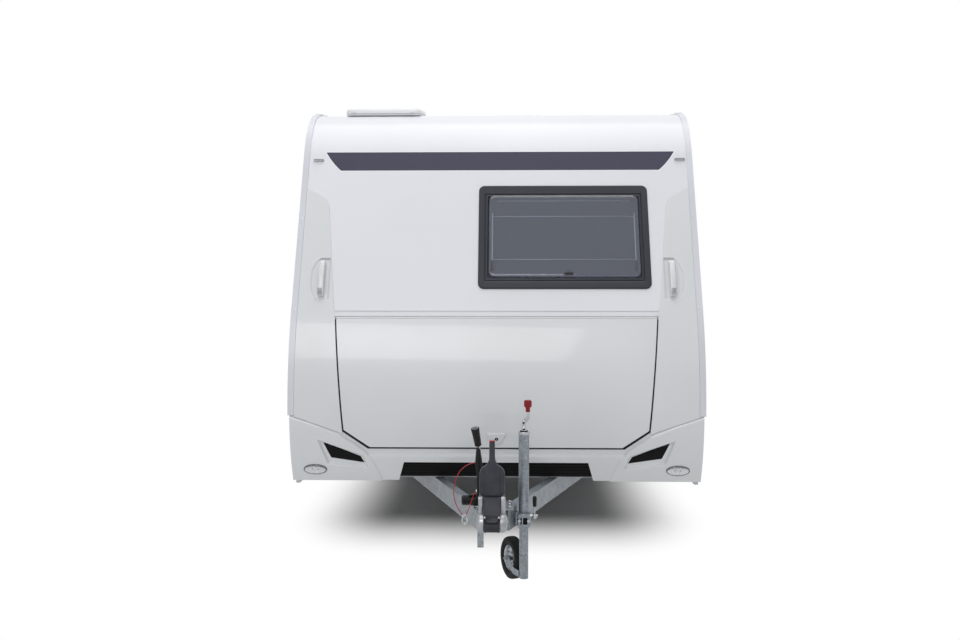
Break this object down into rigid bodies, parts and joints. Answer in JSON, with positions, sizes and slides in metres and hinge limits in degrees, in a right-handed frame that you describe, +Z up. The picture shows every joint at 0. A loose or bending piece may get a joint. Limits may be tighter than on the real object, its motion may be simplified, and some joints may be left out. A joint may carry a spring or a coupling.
{
  "type": "travel caravan",
  "caption": "Small white touring caravan with a sloping front, gas locker lid, entry door, windows, furnished cabin, braked axle, drawbar with coupling and jockey wheel.",
  "frame": {"origin": "on the ground, under the middle of the whole length and width, coupling included", "axes": "+X to the right of someone facing the front, which is the caravan's own left; +Y to the rear; +Z up"},
  "size_m": [2.15, 5.435, 2.482],
  "materials": {
    "body_white": "smooth glossy white sandwich panel",
    "trim_white": "glossy white moulding",
    "rail_alu": "painted aluminium strip",
    "frame_dark": "charcoal window frame",
    "pane": "tinted acrylic",
    "rooflight": "white rooflight",
    "black_plastic": "black moulded plastic",
    "galvanised": "hot dip galvanised",
    "zinc": "bright zinc",
    "charcoal": "charcoal grip",
    "tyre": "black rubber",
    "rim": "silver painted",
    "lamp_red": "red lens",
    "red": "red plastic",
    "floor": "sealed board",
    "board": "laminated board",
    "inner_wall": "pale laminated board",
    "upholstery": "woven grey fabric",
    "mattress": "quilted ticking"
  },
  "bodies": {
    "caravan": {"left_side_wall": "body_white", "right_side_wall": "body_white", "front_panel": "body_white", "roof_panel": "body_white", "rear_panel": "body_white", "floor_panel": "floor", "wheel_boxes": "black_plastic", "awning_rails": "rail_alu", "front_bumper": "trim_white", "front_corner_mouldings": "trim_white", "grab_handles": "trim_white", "locker_hinge_rail": "trim_white", "locker_bulkhead": "inner_wall", "window_frames": "frame_dark", "window_panes": "pane", "rooflights": "rooflight", "side_hinges": "rail_alu", "rear_bumper": "trim_white", "tail_lamps": "lamp_red", "drawbar_right": "galvanised", "drawbar_left": "galvanised", "chassis_rails": "galvanised", "chassis_crossmembers": "galvanised", "axle": "galvanised", "side_skirts": "trim_white", "overrun_housing": "zinc", "coupling_head": "zinc", "coupling_handle": "charcoal", "handbrake_lever": "black_plastic", "parked_plug": "black_plastic", "jockey_outer_tube": "galvanised", "jockey_clamp": "galvanised", "steady_brackets": "galvanised", "washroom_walls": "inner_wall", "bed_base": "board", "mattress": "mattress", "kitchen_unit": "board", "dinette_benches": "board", "dinette_cushions": "upholstery", "dinette_table": "board", "breakaway_cable": "red", "breakaway_clip": "zinc"},
    "locker_lid_body": {"locker_lid": "body_white"},
    "entry_door_body": {"entry_door": "body_white", "entry_door_pane": "pane"},
    "toilet_hatch_body": {"toilet_hatch": "body_white"},
    "left_wheel": {"left_tyre": "tyre", "left_rim": "rim"},
    "right_wheel": {"right_tyre": "tyre", "right_rim": "rim"},
    "jockey_slider": {"jockey_inner_tube": "galvanised"},
    "jockey_swivel": {"jockey_fork": "galvanised"},
    "jockey_wheel": {"jockey_rim": "zinc", "jockey_tyre": "tyre"},
    "front_left_leg": {"front_left_steady": "galvanised"},
    "front_right_leg": {"front_right_steady": "galvanised"},
    "rear_left_leg": {"rear_left_steady": "galvanised"},
    "rear_right_leg": {"rear_right_steady": "galvanised"}
  },
  "joints": [
    {"name": "left_wheel_spin", "type": "hinge", "parent": "caravan", "child": "left_wheel", "pos_m": [0.93, 0.8275, 0.312], "axis": [1, 0, 0], "continuous": true},
    {"name": "right_wheel_spin", "type": "hinge", "parent": "caravan", "child": "right_wheel", "pos_m": [-0.93, 0.8275, 0.312], "axis": [1, 0, 0], "continuous": true},
    {"name": "locker_lid_hinge", "type": "hinge", "parent": "caravan", "child": "locker_lid_body", "pos_m": [0, -1.42092, 1.216], "axis": [-1, 0, 0], "range_deg": [0, 75]},
    {"name": "entry_door_hinge", "type": "hinge", "parent": "caravan", "child": "entry_door_body", "pos_m": [-1.07, -0.3895, 1.2], "axis": [0, 0, 1], "range_deg": [0, 100]},
    {"name": "toilet_hatch_hinge", "type": "hinge", "parent": "caravan", "child": "toilet_hatch_body", "pos_m": [-1.07, -0.8795, 0.645], "axis": [0, 0, 1], "range_deg": [0, 100]},
    {"name": "jockey_crank_slide", "type": "slide", "parent": "caravan", "child": "jockey_slider", "axis": [0, 0, 1], "range_m": [-0.2, 0.07]},
    {"name": "jockey_swivel_turn", "type": "hinge", "parent": "jockey_slider", "child": "jockey_swivel", "pos_m": [0.1375, -2.0925, 0.14], "axis": [0, 0, 1], "continuous": true},
    {"name": "jockey_wheel_spin", "type": "hinge", "parent": "jockey_swivel", "child": "jockey_wheel", "pos_m": [0.08608, -1.9731, 0.1], "axis": [-0.9184, -0.3955, 0], "continuous": true},
    {"name": "front_left_steady_hinge", "type": "hinge", "parent": "caravan", "child": "front_left_leg", "pos_m": [0.88, -1.0925, 0.352], "axis": [-1, 0, 0], "range_deg": [0, 60]},
    {"name": "front_right_steady_hinge", "type": "hinge", "parent": "caravan", "child": "front_right_leg", "pos_m": [-0.88, -1.0925, 0.352], "axis": [-1, 0, 0], "range_deg": [0, 60]},
    {"name": "rear_left_steady_hinge", "type": "hinge", "parent": "caravan", "child": "rear_left_leg", "pos_m": [0.88, 2.2475, 0.352], "axis": [1, 0, 0], "range_deg": [0, 60]},
    {"name": "rear_right_steady_hinge", "type": "hinge", "parent": "caravan", "child": "rear_right_leg", "pos_m": [-0.88, 2.2475, 0.352], "axis": [1, 0, 0], "range_deg": [0, 60]}
  ]
}
